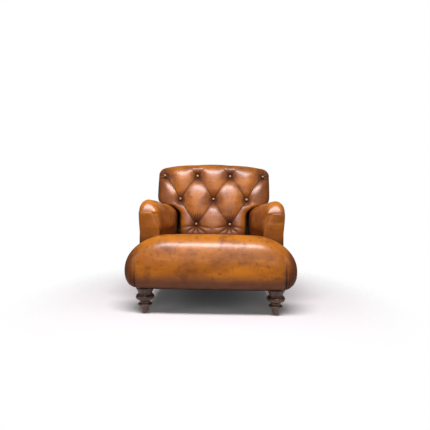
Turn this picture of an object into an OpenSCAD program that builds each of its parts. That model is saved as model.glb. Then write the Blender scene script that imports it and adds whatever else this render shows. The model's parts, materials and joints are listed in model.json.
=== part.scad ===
// Buttoned leather armchair on turned front legs, in millimetres.
// Z is up, the chair faces -Y, and the origin is on the floor under the middle of the chair.

/* [Overall] */
// Width across the ends of the seat's front roll
seat_w = 930; // [915:5:945]
// Depth from the front roll to the outside back
chair_d = 885; // [880:5:890]
// Height of the top of the back, in the middle
chair_h = 885; // [880:1:890]
// Thickness of the leather
hide_t = 2; // [1.6:0.2:2]

/* [Frame] */
// Width across the outer faces of the side rails
frame_w = 784; // [780:1:784]
// Thickness of the seat rails
rail_t = 25; // [24:1:26]
// Height of the seat rails
rail_h = 85; // [80:1:85]
// Height of the rails' lower edge above the floor
rail_z = 150; // [150:1:152]
// Thickness of the arm posts and arm rails
arm_t = 45; // [43:1:45]

/* [Legs] */
// Distance from the middle of the chair to each front leg's axis
leg_x = 358; // [352:1:358]
// Radius of the front leg's widest turning
leg_r = 50; // [46:1:50]

/* [Seat] */
// Height of the top of the seat at its front
seat_top = 430; // [426:1:432]
// Height of the underside of the sprung deck at rest
deck_z = 300; // [300:1:302]
// Slope of the seat towards the back, as a fall per unit of depth
seat_fall = 0.0875; // [0.08:0.0025:0.09]
// Number of seat springs across, and from front to back
spring_n = 3; // [2:1:4]

/* [Arms] */
// Width across the outside of the arm rolls
arms_w = 820; // [816:2:820]
// Height of the arms at the front
arm_top_front = 624; // [620:1:626]
// Height of the arms where they meet the back
arm_top_rear = 590; // [586:1:592]

/* [Back] */
// Width of the back above the arms
back_w = 812; // [808:2:812]
// Width of the back between the arms
back_neck_w = 456; // [450:2:460]
// Distance between neighbouring buttons in a row
button_gap = 234; // [228:1:236]
// Radius of a covered button
button_r = 11; // [10:0.5:12]

/* [Hidden] */
$fn = 48;
clear = 0.5;               // gap that keeps neighbouring soft pieces apart
front_y = -chair_d / 2;    // foremost point of the front roll
rail_x = frame_w / 2;      // outer face of a side rail
rail_front = front_y + 67; // front face of the front rail
rail_back = 332;           // where the seat rails meet the back uprights
rail_top = rail_z + rail_h;
leg_y = front_y + 110;
arm_front = front_y + 157.5; // front of the arm facings
step_y = arm_front - 7;      // where the seat's roll stops, in front of the arms
post_y = arm_front + 45;     // front face of the arm posts
arm_x = 345;                 // inner face of the arm posts and rails
upright_top = chair_h - 62;
lean = 0.1275; // how far the uprights' front edge leans back per unit of height
glide_h = 3;
bolt_r = 4;
insert_r = 5.5;
leather = "sienna";
beech = "burlywood";

// ---------------------------------------------------------------- helpers

function smooth(t) = let (c = max(0, min(1, t))) c * c * (3 - 2 * c);
function reverse(list) = [for (i = [len(list) - 1:-1:0]) list[i]];
function mirror_x(path) = [for (p = path) [-p[0], p[1]]];
function arc(cx, cy, rx, ry, from, to, steps) = [
    for (i = [0:steps]) let (a = from + (to - from) * i / steps) [cx + rx * cos(a), cy + ry * sin(a)]
];
function lift(path, z) = [for (p = path) [p[0], p[1], z]];

// Triangles of the wall round a stack of rings of n points; point 0 of the stack has the index first.
function wall(n, rows, first, flip) = [
    for (r = [0:rows - 2], i = [0:n - 1])
        let (a = first + r * n + i, b = first + r * n + (i + 1) % n, c = b + n, d = a + n)
            each flip ? [[a, b, c], [a, c, d]] : [[a, c, b], [a, d, c]]
];

// Triangles of a flat end: each point is joined to the one that is as far from the ring's other end.
function cap(n, first, flip) = [
    for (i = [0:n / 2 - 2])
        let (a = first + i, b = a + 1, d = first + n - 1 - i, c = d - 1)
            each flip ? [[a, b, c], [a, c, d]] : [[a, c, b], [a, d, c]]
];

// A closed solid through a stack of rings, each seen anticlockwise from the far end of the stack.
module loft(rings) {
    n = len(rings[0]);
    rows = len(rings);
    polyhedron(
        points = [for (r = rings) each r],
        faces = concat(wall(n, rows, 0, false), cap(n, 0, true), cap(n, (rows - 1) * n, false)),
        convexity = 8
    );
}

// A hollow shell, open at the first ring: outer and inner are stacks of rings of equal size.
module cup(outer, inner) {
    n = len(outer[0]);
    start = len(outer) * n;
    polyhedron(
        points = concat([for (r = outer) each r], [for (r = inner) each r]),
        faces = concat(
            wall(n, len(outer), 0, false), cap(n, start - n, false),
            wall(n, len(inner), start, true), cap(n, start + (len(inner) - 1) * n, true),
            [for (i = [0:n - 1]) let (j = (i + 1) % n) each [[i, j, start + j], [i, start + j, start + i]]]
        ),
        convexity = 8
    );
}

// A solid between two grids of points of the same size, the first one facing -Y.
module slab(front, rear) {
    rows = len(front);
    cols = len(front[0]);
    count = rows * cols;
    edge = concat(
        [for (j = [0:cols - 1]) j],
        [for (i = [1:rows - 1]) i * cols + cols - 1],
        [for (j = [cols - 2:-1:0]) (rows - 1) * cols + j],
        [for (i = [rows - 2:-1:1]) i * cols]
    );
    polyhedron(
        points = concat([for (r = front) each r], [for (r = rear) each r]),
        faces = concat(
            [for (i = [0:rows - 2], j = [0:cols - 2])
                let (a = i * cols + j, b = a + 1, c = b + cols, d = a + cols) each [[a, c, b], [a, d, c]]],
            [for (i = [0:rows - 2], j = [0:cols - 2])
                let (a = count + i * cols + j, b = a + 1, c = b + cols, d = a + cols)
                    each [[a, b, c], [a, c, d]]],
            [for (k = [0:len(edge) - 1])
                let (a = edge[k], b = edge[(k + 1) % len(edge)])
                    each [[a, b, b + count], [a, b + count, a + count]]]
        ),
        convexity = 8
    );
}

// A round rod from one point to another.
module rod(from, to, r) {
    d = to - from;
    translate(from)
        rotate([0, acos(d[2] / norm(d)), atan2(d[1], d[0])])
            cylinder(r = r, h = norm(d));
}

module both_sides() {
    children();
    mirror([1, 0, 0]) children();
}

// An extrusion along X of an outline in Y and Z.
module along_x(from, to, outline) {
    translate([from, 0, 0]) rotate([90, 0, 90]) linear_extrude(to - from) polygon(outline);
}

// ---------------------------------------------------------------- seat rails

module front_rail() color(beech)
    translate([-rail_x, rail_front, rail_z]) cube([frame_w, rail_t, rail_h]);

module right_side_rail() color(beech)
    translate([rail_x - rail_t, rail_front + rail_t, rail_z])
        cube([rail_t, rail_back - rail_front - rail_t, rail_h]);

module back_rail() color(beech)
    translate([-rail_x + rail_t, rail_back, rail_z]) cube([frame_w - 2 * rail_t, rail_t, rail_h]);

block_leg = 75; // length of a corner block's two short sides

module corner_block(x, y, toward) {
    translate([0, 0, rail_z])
        linear_extrude(rail_h)
            polygon([[x, y], [x - block_leg, y], [x, y + toward * block_leg]]);
}

module front_corner_blocks() color(beech) both_sides() difference() {
    corner_block(rail_x - rail_t, rail_front + rail_t, 1);
    translate([leg_x, leg_y, rail_z - 1]) cylinder(r = insert_r + 0.05, h = rail_h + 2);
}

module rear_corner_blocks() color(beech) both_sides()
    corner_block(rail_x - rail_t, rail_back, -1);

screw_r = 2;

module corner_block_screws() color("gray") both_sides() {
    for (y_dir = [[rail_front + rail_t, 1], [rail_back, -1]])
        for (z = [rail_z + 22, rail_top - 22]) {
            inner = rail_x - rail_t;
            y = y_dir[0];
            way = y_dir[1];
            rod([inner - 45, y + way * 22, z], [inner - 45, y - way * 18, z], screw_r);
            rod([inner - 22, y + way * 45, z], [inner + 18, y + way * 45, z], screw_r);
        }
}

dowel_r = 5;
dowel_half = 22; // length of a dowel on each side of its joint

// Each dowel's middle and direction, on the right side of the chair.
dowels = concat(
    [for (z = [rail_z + 25, rail_top - 25]) [[rail_x - rail_t / 2, rail_front + rail_t, z], [0, 1, 0]]],
    [for (z = [rail_z + 25, rail_top - 25]) [[rail_x - rail_t / 2, rail_back, z], [0, 1, 0]]],
    [for (z = [rail_z + 15, rail_top - 15]) [[rail_x - rail_t, rail_back + rail_t / 2, z], [1, 0, 0]]],
    [for (z = [785, 808]) [[rail_x - rail_t, upright_front(z) + rail_t / 2, z], [1, 0, 0]]],
    [for (y = [post_y + 12, post_y + 33]) [[rail_x - rail_t / 2, y, rail_top], [0, 0, 1]]]
);

module frame_dowels() color("tan") both_sides()
    for (d = dowels) rod(d[0] - dowel_half * d[1], d[0] + dowel_half * d[1], dowel_r);

// ---------------------------------------------------------------- back uprights and rails

function upright_front(z) = rail_back + lean * max(0, z - 235);
rear_lean = (chair_d / 2 - hide_t - 0.2 - rail_back - 40) / (chair_h - 235);
function upright_rear(z) = rail_back + 40 + rear_lean * max(0, z - 235);
heel_y = 420; // rear corner of the back foot, at the floor

upright_outline = [
    [heel_y - 28, glide_h], [heel_y, glide_h], [rail_back + 40, rail_z], [rail_back + 40, 235],
    [upright_rear(upright_top), upright_top], [upright_front(upright_top), upright_top],
    [rail_back, 235], [rail_back, rail_z]
];

module right_back_upright() color("saddlebrown")
    along_x(rail_x - rail_t, rail_x, upright_outline);

back_arch = 32; // how much higher the back is in the middle than at its corners

// Places something in the plane of the uprights' front edges; local Z runs up that plane.
module on_back_plane() {
    translate([0, rail_back, 235]) rotate([-atan(lean), 0, 0]) children();
}

module back_top_rail() color(beech) {
    half = rail_x - rail_t;
    on_back_plane() translate([0, rail_t, 0]) rotate([90, 0, 0]) linear_extrude(rail_t)
        polygon(concat(
            [[-half, 540], [half, 540]],
            [for (i = [0:16])
                let (x = half - half * i / 8) [x, 601 + back_arch * (1 - pow(x / half, 2)) * 0.8]]
        ));
}

module back_tacking_rail() color(beech)
    on_back_plane() translate([-rail_x + rail_t, 0, 60]) cube([frame_w - 2 * rail_t, rail_t, 45]);

// ---------------------------------------------------------------- arm frames

arm_rail_t = 28;
arm_fall = (arm_top_front - arm_top_rear) / 560;
function arm_top(y) = arm_top_front - (arm_top_front - arm_top_rear) * smooth((y - arm_front) / 560);
function arm_rail_top(y) = arm_top_front - 26 - arm_fall * 1.16 * (y - post_y);

module right_arm_post() color(beech)
    along_x(arm_x, arm_x + arm_t, [
        [post_y, rail_top], [post_y + 45, rail_top],
        [post_y + 45, arm_rail_top(post_y + 45) - arm_rail_t - 0.1],
        [post_y, arm_rail_top(post_y) - arm_rail_t - 0.1]
    ]);

arm_rail_end = upright_front(540);      // where the arm rail meets the back upright

module right_arm_rail() color(beech)
    along_x(arm_x, arm_x + arm_t, [
        [post_y, arm_rail_top(post_y) - arm_rail_t],
        [arm_rail_end - lean * 30, arm_rail_top(arm_rail_end - lean * 30) - arm_rail_t],
        [arm_rail_end - lean * 2, arm_rail_top(arm_rail_end)],
        [post_y, arm_rail_top(post_y)]
    ]);

module right_arm_tacking_rail() color(beech)
    translate([arm_x, post_y + 45, 330]) cube([rail_t, upright_front(330) - post_y - 45, 28]);

// ---------------------------------------------------------------- legs

// The turned front leg's outline from the collar down to the toe: radius and height.
leg_outline = concat(
    [[0, rail_z], [leg_r * 0.9, rail_z]],
    arc(leg_r - 6, rail_z - 7, 6, 6, 70, -60, 5),
    arc(leg_r + 1, 115, 13, 14, 140, 215, 6),
    arc(leg_r - 12, 93, 12, 13.5, 62, -62, 9),
    arc(leg_r - 13, 66, 10, 9, 130, 215, 5),
    arc(leg_r - 17, 52, 5, 5.5, 60, -60, 5),
    [[leg_r - 24, 41], [leg_r - 28, 37], [leg_r - 29, 32], [leg_r - 33, 16], [leg_r - 38, glide_h + 3]],
    [[leg_r - 40, glide_h], [0, glide_h]]
);

module right_front_leg() color("saddlebrown") translate([leg_x, leg_y, 0]) difference() {
    rotate_extrude() polygon(leg_outline);
    translate([0, 0, 104]) cylinder(r = bolt_r + 0.05, h = 60);
}

module leg_bolts() color("silver") both_sides()
    translate([leg_x, leg_y, 105]) cylinder(r = bolt_r, h = 90);

module leg_inserts() color("silver") both_sides() translate([leg_x, leg_y, rail_z]) difference() {
    cylinder(r = insert_r, h = 30);
    translate([0, 0, -1]) cylinder(r = bolt_r + 0.05, h = 32);
}

module floor_glides() color("silver") both_sides() {
    translate([leg_x, leg_y, 0]) cylinder(r = 9, h = glide_h);
    translate([rail_x - rail_t / 2, heel_y - 14, 0]) cylinder(r = 9, h = glide_h);
}

// ---------------------------------------------------------------- seat springing

web_w = 50;
web_t = 1.5;
web_pitch = 125;

module seat_webbing() color("tan") {
    inner = rail_x - rail_t;
    for (i = [-2:2]) {
        translate([i * web_pitch - web_w / 2, rail_front + 4, rail_z - web_t])
            cube([web_w, rail_back + rail_t - rail_front - 8, web_t]);
        translate([-rail_x + 4, i * web_pitch + 20 - web_w / 2, rail_z - 2 * web_t - 0.1])
            cube([frame_w - 8, web_w, web_t]);
    }
}

// Rings round a wire that winds up from z0 to z1; radius is [bottom, waist, top].
function coil(x, y, z0, z1, radius, turns, wire) =
    let (steps = ceil(turns * 10))
    [for (s = [0:steps])
        let (t = s / steps, a = 360 * turns * t, z = z0 + (z1 - z0) * t,
            flare = t < 0.5 ? radius[0] - radius[1] : radius[2] - radius[1],
            r = radius[1] + flare * pow(abs(2 * t - 1), 1.5))
            [for (k = [0:5]) let (b = 60 * k, out = r + wire * sin(b))
                [x + out * cos(a), y + out * sin(a), z + wire * cos(b)]]];

wire_r = 2;
spring_top = deck_z - 9;
spring_pitch = 420 / max(1, spring_n - 1);
spring_places = [for (i = [0:spring_n - 1]) (i - (spring_n - 1) / 2) * spring_pitch];
spring_y0 = 25;  // middle of the springs, front to back

module seat_springs() color("dimgray")
    for (x = spring_places, y = spring_places)
        loft(coil(x, y + spring_y0, rail_z + wire_r, spring_top, [44, 29, 44], 4.5, wire_r));

edge_y = rail_front + 12; // middle of the springs that stand on the front rail

module front_edge_springs() color("dimgray")
    for (i = [-2:2])
        loft(coil(i * 165, edge_y, rail_top + 1.8, spring_top, [8, 12, 22], 3, 1.8));

module front_edge_wire() color("dimgray")
    rod([-405, edge_y - 30, spring_top], [405, edge_y - 30, spring_top], 2.2);

twine_r = 1.2;
twine_z = spring_top + wire_r + twine_r + 0.2;

// Twine lies over the springs in both directions and comes down to the rails at each end.
module spring_lashing() color("wheat") {
    reach = spring_places[spring_n - 1] + 44;
    for (p = spring_places) {
        rod([-reach, p + spring_y0, twine_z], [reach, p + spring_y0, twine_z], twine_r);
        both_sides()
            rod([reach + 0.2, p + spring_y0, twine_z], [rail_x - 12, p + spring_y0, rail_top + 2], twine_r);
        rod([p, -reach + spring_y0, twine_z + 2.6], [p, reach + spring_y0, twine_z + 2.6], twine_r);
        rod([p, reach + spring_y0 + 0.2, twine_z + 2.6], [p, rail_back + 12, rail_top + 2], twine_r);
    }
}

// ---------------------------------------------------------------- seat outline

roll_r = 105;       // radius of the seat's front corners, seen from above
seat_rear = 300;    // rear edge of the seat, under the back

// Inset of the seat's outline at each height: the rounded front roll.
roll = [
    [152, 40], [158, 28], [172, 15], [195, 5], [225, 0.5], [255, 0], [290, 3], [320, 9],
    [350, 20], [378, 36], [400, 56], [414, 78], [seat_top - 3, 100]
];
function roll_inset(z) = lookup(z, roll);
function arm_inner(y) = 300 - 45 * smooth((y - arm_front) / 420);

// Right half of the seat's front, from the middle to behind the corner:
// inset d at the front, s at the ends.
function seat_front_half(d, s) =
    let (w = seat_w / 2 - s, r = max(roll_r - 0.85 * s, 22), y0 = front_y + d)
    concat(
        [for (i = [0:5]) let (x = 20 + (w - r - 20) * i / 6) [x, y0 + 10 * pow(x / w, 2)]],
        arc(w - r, y0 + r + 10, r, r, -84, 0, 8)
    );

// The seat's side in front of the arm: the end of the roll, to just outside the side rail.
function seat_step_half(s, step) =
    let (w = seat_w / 2 - s, r = 14)
    concat(arc(w - r, step - r, r, r, 12, 78, 3), [[rail_x + 8, step + 1]]);

// The rest of the seat's side, between the arms, and half of its rear.
function seat_neck_half(step, n) = concat(
    [[rail_x + 5, step + 2], [arm_inner(arm_front) - 2 - n, step + 4]],
    [for (i = [0:7])
        let (y = step + 12 + (seat_rear - n - 30 - step - 12) * i / 7) [arm_inner(y) - 4 - n, y]],
    [for (i = [1:5])
        let (x = (arm_inner(seat_rear) - 4 - n) * (1 - i / 6)) [x, seat_rear - n - 6 * pow(x / 250, 2)]]
);

// Behind the front roll the cover's lower edge stays above the rails and the springs' lashing.
hem_z = [305, 325];
function hem(z) = z > hem_z[1] ? z :
    hem_z[1] - (hem_z[1] - z) * (hem_z[1] - hem_z[0]) / (hem_z[1] - roll[0][0]);
function fall(p, z) =
    let (share = max(0, z - deck_z) / (seat_top - deck_z))
    [p[0], p[1], z - seat_fall * (p[1] - front_y - 100) * share];

// The seat's outline at height z, inset by an extra e, with its top lowered by drop.
function seat_ring(z, e, drop = 0, hemmed = false) =
    let (d = roll_inset(z) + e,
        s = (z > 255 ? 1.45 : 1) * roll_inset(z) + 8 * smooth((z - 292) / 25) + e,
        step = step_y - 0.1 * roll_inset(max(z, deck_z)) - e, low = z - (z > 345 ? drop : 0),
        half = concat(
            [for (p = concat(seat_front_half(d, s), seat_step_half(s, step))) fall(p, low)],
            [for (p = seat_neck_half(step, e)) fall(p, hemmed ? hem(low) : low)]
        ))
    concat(half, reverse([for (p = half) [-p[0], p[1], p[2]]]));

top_z = seat_top - 0.01;

module seat_hessian() color("tan")
    loft([seat_ring(deck_z - 1.3, 9), seat_ring(deck_z - 0.3, 9)]);

module seat_fibre_pad() color("peru")
    loft([for (z = [deck_z, 305, 320, 335, 344.5]) seat_ring(z, hide_t + 1.6)]);

module seat_foam() color("khaki")
    loft([for (z = [345.2, 350, 364, 378, 400, 414, top_z])
        seat_ring(z, hide_t + 1.7, z > 351 ? hide_t + 1.7 : 0)]);

cover_rows = [152, 158, 172, 195, 225, 255, 290, 305, 320, 335, 350, 364, 378, 400, 414, top_z];

module seat_cover() color(leather)
    cup(
        [for (z = cover_rows) seat_ring(z, 0, 0, true)],
        [for (z = cover_rows) seat_ring(z, hide_t, hide_t, true)]
    );

// Where the border pad meets the rails, for a point of its outer outline.
function beside_rail(p) =
    let (x = rail_x + clear, y = rail_front - clear, a = atan2(p[1] - y, abs(p[0]) - x), side = sign(p[0]))
    abs(p[0]) > x && p[1] < y
        ? [side * (x + 3 * cos(a)), y + 3 * sin(a)]
        : [side * min(abs(p[0]), x), max(p[1], y)];

function border_ring(z) =
    let (e = roll_inset(z) + hide_t + 1.6,
        right = concat(seat_front_half(e, e), [[seat_w / 2 - e, step_y - 12]]),
        outer = concat(reverse(mirror_x(right)), right))
    lift(concat(outer, reverse([for (p = outer) beside_rail(p)])), z);

// Padding in front of the front rail and round its ends, below the sprung deck's travel.
module front_border_pad() color("peru")
    loft([for (z = [156, 160, 172, 195, 225, 236]) border_ring(z)]);

module dust_cover() color("dimgray") difference() {
    translate([-rail_x + 6, rail_front + 3, rail_z - 5])
        cube([frame_w - 12, rail_back + rail_t - rail_front - 6, 1]);
    both_sides() translate([leg_x, leg_y, rail_z - 6]) cylinder(r = leg_r + 3, h = 3);
    both_sides() translate([rail_x - rail_t - 1, rail_back - 6, rail_z - 6]) cube([40, 60, 3]);
}

module dust_cover_tacks() color("black") {
    both_sides() for (i = [0:6])
        translate([rail_x - 12, -200 + 80 * i, rail_z - 6.2]) cylinder(r = 3, h = 1);
    for (i = [-3:3], y = [rail_front + 10, rail_back + rail_t - 10])
        translate([i * 85, y, rail_z - 6.2]) cylinder(r = 3, h = 1);
}

// ---------------------------------------------------------------- arms

pad_z = 305;            // lower edge of the arm padding, beside the seat
facing_z = 250;         // lower edge of the arm facing
lip = 78;               // how far the roll comes down outside, below the arm's top
arm_rear = 340;

// The arm's outline in X and Z, inset by e, from the inside's lower edge over the top.
function arm_inside(y, e, z0) =
    let (x = arm_inner(y) + e, z = arm_top(y) - e, mid = arm_ridge(y))
    concat(
        [for (i = [0:4]) [x, z0 + (z - 75 - z0) * i / 5]],
        [for (i = [0:6]) let (a = 180 - 15 * i) [mid + (mid - x) * cos(a), z - 75 + 75 * sin(a)]]
    );
function arm_ridge(y) = 362 - 12 * smooth((y - arm_front) / 420);
function arm_over(y, e) =
    let (x = arms_w / 2 - e, z = arm_top(y) - e, mid = arm_ridge(y))
    [for (i = [0:5]) let (a = 78 - 15.6 * i) [mid + (x - mid) * cos(a), z - 55 + 55 * sin(a)]];
function arm_arc(y, e) =
    concat(arm_inside(y, e, pad_z), arm_over(y, e), [[arms_w / 2 - 3 - e, arm_top(y) - lip]]);

// The outline of the frame inside the arm, point for point with arm_arc.
function arm_core(y) =
    let (x0 = arm_x - 2, x1 = rail_x + clear,
        z = arm_rail_top(y) + clear + (y > 0 ? 3 * smooth(y / 300) : 0))
    concat(
        [for (i = [0:10]) [x0, pad_z + (z - pad_z) * i / 10]],
        [for (i = [1:4]) [x0 + (x1 - x0) * i / 4, z]],
        [for (i = [1:4]) [x1, z + (arm_top(y) - lip - z) * i / 4]]
    );

function arm_ring(path, y) = [for (p = path) [p[0], y, p[1]]];
arm_start = arm_front + 15;

// A ring round the arm's hollow at t, from the facing to just in front of the back's webbing.
function hollow_ring(e, core, t) =
    let (y = arm_start + (arm_rear - arm_start) * t,
        path = concat(arm_arc(y, e), reverse(core ? arm_core(y) : arm_arc(y, hide_t))))
    [for (p = path) [p[0], arm_start + (upright_front(p[1]) - 8 - arm_start) * t, p[1]]];

module right_arm_cover() color(leather)
    loft([for (i = [0:8]) hollow_ring(0, false, i / 8)]);

module right_arm_pad() color("peru")
    loft([for (i = [0:8]) hollow_ring(hide_t + clear, true, i / 8)]);

// The padded panel on the arm's front: a closed outline, rounded towards the front.
function facing_ring(y, e) =
    let (x = arms_w / 2 - e, inside = arm_inside(arm_front, e, facing_z), over = arm_over(arm_front, e))
    arm_ring(concat(
        inside, over,
        [for (i = [1:6]) [x - 12 * i / 6, facing_z + (arm_top_front - e - 55 - facing_z) * (1 - i / 6)]]
    ), y);

module right_arm_facing() color(leather)
    loft([for (s = [[0, 14], [1.5, 8], [5, 3], [9, 0.6], [14.5, 0]]) facing_ring(arm_front + s[0], s[1])]);

module right_arm_lining() color("tan")
    along_x(arm_x - 1.5, arm_x - clear, [
        [post_y + 2, pad_z + 4], [upright_front(pad_z) - 4, pad_z + 4],
        [arm_rail_end - 6, arm_rail_top(arm_rail_end) - 2], [post_y + 2, arm_rail_top(post_y) - 2]
    ]);

// The outside arm panel at t, from its front to the back uprights' rear edge.
function outside_arm_ring(t) =
    let (x0 = rail_x + clear, x1 = rail_x + 6, y0 = arm_front + 16,
        low = y0 + (upright_rear(rail_z) - y0) * t, high = y0 + (upright_rear(500) - y0) * t,
        z = arm_top(high) - lip - 1)
    [[x0, low, rail_z], [x1, high, z], [x1 + hide_t, high, z], [x0 + hide_t, low, rail_z]];

module right_outside_arm() color(leather)
    loft([for (i = [0:6]) outside_arm_ring(i / 6)]);

// ---------------------------------------------------------------- back

back_z0 = 400;          // lower edge of the back's padding, above the seat
shoulder = [530, 632];  // heights between which the back widens over the arms
wrap = [645, 690];      // heights between which the cover's edge moves round to the rear
corner_r = 48;          // radius of the back's top corners

function back_half_w(z) =
    let (t = max(0, min(1, (z - shoulder[0]) / (shoulder[1] - shoulder[0]))),
        c = max(0, min(0.97, 1 - (chair_h - z) / corner_r)))
    back_neck_w / 2 + (back_w - back_neck_w) / 2 * pow(t, 3) - corner_r * (1 - sqrt(1 - c * c));
function back_edge_y(z) =
    let (t = smooth((z - wrap[0]) / (wrap[1] - wrap[0])))
    upright_front(z) - 6 + t * (upright_rear(z) - upright_front(z) - 1);
function pillow(t, p) = pow(max(0, 1 - pow(abs(t), p)), 1 / p);

// Thickness of the back in front of the uprights' plane: deep at the loins, thin at the top.
function back_depth(z) = 202 - 75 * (z - back_z0) / (chair_h - back_z0);

cols = 22;
rows = 30;
function spread(t) = sin(90 * t);

// A point of the back's front, for s across and t up, both from -1 to 1, inset by e.
function back_point(s, t, e) =
    let (z_mid = (back_z0 + chair_h) / 2, z_half = (chair_h - back_z0) / 2 - e,
        z_flat = z_mid + z_half * spread(t),
        u = spread(s) * (back_half_w(z_flat - 2 * e) - e),
        z = z_flat - back_arch * pow(u / (back_w / 2), 2) * smooth((z_flat - 700) / 150),
        edge = back_edge_y(z_flat),
        depth = edge - (upright_front(z) - back_depth(z)) - e)
    [u, edge - depth * pillow(spread(s), 6) * pillow(spread(t), 7), z];

function back_grid(e) =
    [for (i = [0:rows]) [for (j = [0:cols]) back_point(2 * j / cols - 1, 2 * i / rows - 1, e)]];

// The padding's flat rear, point for point with its front.
function back_rear_grid(e) = [
    for (r = back_grid(e)) [for (p = r) [p[0] * 0.998, upright_front(p[2]) - 5.2, p[2]]]
];
function back_pad_grid(e) = [
    for (r = back_grid(e)) [for (p = r) [p[0], min(p[1], upright_front(p[2]) - 9), p[2]]]
];

button_rows = [
    [796, [-1.5, -0.5, 0.5, 1.5]],
    [631, [-1, 0, 1]],
    [457, [-0.5, 0.5]]
];
button_places = [for (r = button_rows) each [for (k = r[1]) [k * button_gap, r[0]]]];
pocket_r = button_r + 3;
pocket_depth = 34;
function face_y(z) = upright_front(z) - back_depth(z);

// Places something at each button, with local Z pointing out of the back along -Y.
module at_buttons(depth) {
    for (p = button_places)
        translate([p[0], face_y(p[1]) + depth, p[1]]) rotate([90, 0, 0]) children();
}

module back_cover() color(leather) difference() {
    slab(back_grid(0), [for (r = back_grid(hide_t)) [for (p = r) [p[0], p[1] + 0.02, p[2]]]]);
    at_buttons(pocket_depth) cylinder(r = pocket_r, h = pocket_depth + 20);
}

module back_pad() color("peru") difference() {
    slab(back_pad_grid(hide_t + 3.5), back_rear_grid(hide_t + 3.5));
    at_buttons(pocket_depth) cylinder(r = pocket_r, h = pocket_depth + 20);
    at_buttons(220) cylinder(r = 2, h = 220);
}

module back_buttons() color(leather) at_buttons(pocket_depth - 1) {
    cylinder(r = button_r, h = 3);
    translate([0, 0, 3]) cylinder(r1 = button_r, r2 = button_r - 2.5, h = 2.5);
    translate([0, 0, 5.5]) cylinder(r1 = button_r - 2.5, r2 = button_r - 7, h = 1.5);
}

// Twine from each button back to the webbing.
module button_ties() color("wheat")
    for (p = button_places)
        rod([p[0], face_y(p[1]) + pocket_depth - 0.5, p[1]], [p[0], upright_front(p[1]) - 5.6, p[1]], 1.2);

module back_webbing() color("tan") on_back_plane() {
    for (i = [-2:2])
        translate([i * 125 - web_w / 2, -web_t - 0.1, 65]) cube([web_w, web_t, 530]);
    for (z = [140, 235, 336, 436])
        translate([-rail_x + 3, -2 * web_t - 0.2, z]) cube([frame_w - 6, web_t, web_w]);
}

module back_hessian() color("tan")
    on_back_plane() translate([-arm_x + 5, -4.4, 170]) cube([2 * arm_x - 10, 1, 420]);

// The top edge of the outside back seen from behind, from its right corner to its left.
function back_rim(half, top) =
    let (r = corner_r - 4, corner = arc(half - r, top - back_arch - r + 4, r, r, 0, 66, 5))
    concat(
        corner,
        [for (i = [-7:7]) let (x = -i * (half - r) / 8) [x, top - back_arch * pow(x / half, 2)]],
        reverse(mirror_x(corner))
    );
back_top = chair_h - 12;

module outside_back() color(leather) intersection() {
    along_x(-rail_x - 10, rail_x + 10, [
        [rail_back + 40.2, rail_z], [rail_back + 40.2 + hide_t, rail_z], [rail_back + 40.2 + hide_t, 235],
        [upright_rear(chair_h) + 0.2 + hide_t, chair_h], [upright_rear(chair_h) + 0.2, chair_h],
        [rail_back + 40.2, 235]
    ]);
    translate([0, 500, 0]) rotate([90, 0, 0]) linear_extrude(300) polygon(concat(
        [[-rail_x + 2, rail_z], [rail_x - 2, rail_z], [rail_x + 6, 640]],
        back_rim(rail_x + 6, back_top), [[-rail_x - 6, 640]]
    ));
}

piping_r = 3;

// The piping's middle line, just outside the edge of the outside back.
piping_path = [
    for (p = concat([[rail_x + 10, 660], [rail_x + 10, 740]], back_rim(rail_x + 10, back_top + 4),
        [[-rail_x - 10, 740], [-rail_x - 10, 660]])) [p[0], upright_rear(p[1]) - 1, p[1]]
];

function tube(path, r, sides) = [
    for (i = [0:len(path) - 1])
        let (a = path[max(0, i - 1)], b = path[min(len(path) - 1, i + 1)], t = (b - a) / norm(b - a),
            n = cross(t, [0, 1, 0]) / norm(cross(t, [0, 1, 0])), o = cross(t, n))
            [for (k = [0:sides - 1]) let (v = 360 * k / sides) path[i] + r * (cos(v) * n + sin(v) * o)]
];

module outside_back_piping() color(leather) loft(tube(piping_path, piping_r, 8));

// ---------------------------------------------------------------- nodes

front_rail();
mirror([1, 0, 0]) right_side_rail();  // left_side_rail
right_side_rail();
back_rail();
front_corner_blocks();
rear_corner_blocks();
corner_block_screws();
frame_dowels();
mirror([1, 0, 0]) right_back_upright();  // left_back_upright
right_back_upright();
back_top_rail();
back_tacking_rail();
mirror([1, 0, 0]) right_arm_post();  // left_arm_post
right_arm_post();
mirror([1, 0, 0]) right_arm_rail();  // left_arm_rail
right_arm_rail();
mirror([1, 0, 0]) right_arm_tacking_rail();  // left_arm_tacking_rail
right_arm_tacking_rail();
mirror([1, 0, 0]) right_front_leg();  // left_front_leg
right_front_leg();
leg_bolts();
leg_inserts();
floor_glides();
seat_webbing();
seat_springs();
front_edge_springs();
front_edge_wire();
spring_lashing();
seat_hessian();
seat_fibre_pad();
seat_foam();
seat_cover();
front_border_pad();
dust_cover();
dust_cover_tacks();
mirror([1, 0, 0]) right_arm_lining();  // left_arm_lining
right_arm_lining();
mirror([1, 0, 0]) right_arm_pad();  // left_arm_pad
right_arm_pad();
mirror([1, 0, 0]) right_arm_cover();  // left_arm_cover
right_arm_cover();
mirror([1, 0, 0]) right_arm_facing();  // left_arm_facing
right_arm_facing();
mirror([1, 0, 0]) right_outside_arm();  // left_outside_arm
right_outside_arm();
back_webbing();
back_hessian();
back_pad();
back_cover();
back_buttons();
button_ties();
outside_back();
outside_back_piping();
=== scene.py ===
"""A buttoned leather armchair on turned front legs, built over the CAD frame it shares."""

import json
import logging
import math
from dataclasses import dataclass, field
from enum import Enum
from typing import Any, Sequence

import bpy
import numpy as np
from mathutils import Matrix, Vector
from mathutils.bvhtree import BVHTree


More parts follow.
